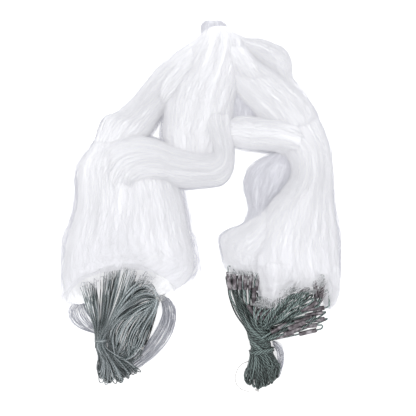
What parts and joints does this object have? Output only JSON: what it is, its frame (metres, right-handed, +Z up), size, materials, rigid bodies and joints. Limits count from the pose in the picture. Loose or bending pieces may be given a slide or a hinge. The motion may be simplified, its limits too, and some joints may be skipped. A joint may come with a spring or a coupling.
{
  "type": "fishing net",
  "caption": "Gathered monofilament fishing net laid out in an arch, with a hanked plain headline at one end and a hanked, leaded foot rope at the other.",
  "frame": {"origin": "on the resting surface, under the middle of the net's plan", "axes": "+Y from the open ends of the legs towards the crown of the arch, +X from the headline leg towards the lead line leg, +Z up from the resting surface"},
  "size_m": [0.556, 0.7551, 0.08],
  "materials": {
    "netting": "satin",
    "headline_cord": "satin",
    "lead_line": "satin",
    "twine": "gloss",
    "lead": "satin"
  },
  "bodies": {
    "headline_leg": {"netting_crown": "netting", "netting_crown_bunch": "netting", "netting_outer_band": "netting", "netting_middle_fold": "netting", "netting_headline_leg": "netting", "headline_hank_fan": "headline_cord", "headline_tie": "twine", "headline_twine_left": "twine", "headline_twine_right": "twine"},
    "lead_leg": {"netting_back_fold": "netting", "netting_back_band": "netting", "netting_pillow_fold": "netting", "netting_inner_fold": "netting", "netting_side_fold": "netting", "netting_lead_leg": "netting", "lead_line_hank_fan": "lead_line", "lead_line_tie": "lead_line", "lead_line_twine": "twine", "lead_line_in_sinkers": "lead_line", "sinker_01": "lead", "sinker_02": "lead", "sinker_03": "lead", "sinker_04": "lead", "sinker_05": "lead", "sinker_06": "lead", "sinker_07": "lead", "sinker_08": "lead", "sinker_09": "lead", "sinker_10": "lead", "sinker_11": "lead", "sinker_12": "lead", "sinker_13": "lead", "sinker_14": "lead", "sinker_15": "lead", "sinker_16": "lead", "sinker_17": "lead", "sinker_18": "lead", "sinker_19": "lead", "sinker_20": "lead", "sinker_21": "lead", "sinker_22": "lead", "sinker_23": "lead", "sinker_24": "lead", "sinker_25": "lead", "sinker_26": "lead", "sinker_27": "lead", "sinker_28": "lead", "sinker_29": "lead", "sinker_30": "lead"},
    "headline_tail": {"headline_hank_tail": "headline_cord"},
    "lead_tail": {"lead_line_hank_tail": "lead_line", "loose_thread": "twine"}
  },
  "joints": [
    {"name": "crown_fold", "type": "hinge", "parent": "headline_leg", "child": "lead_leg", "pos_m": [0.062, 0.306, 0.03], "axis": [0, 0, 1], "range_deg": [0, 14]},
    {"name": "headline_tail_swing", "type": "hinge", "parent": "headline_leg", "child": "headline_tail", "pos_m": [-0.202, -0.298, 0.01], "axis": [0, 0, 1], "range_deg": [-20, 4]},
    {"name": "lead_tail_swing", "type": "hinge", "parent": "lead_leg", "child": "lead_tail", "pos_m": [0.122, -0.307, 0.01], "axis": [0, 0, 1], "range_deg": [-15, 8]}
  ]
}
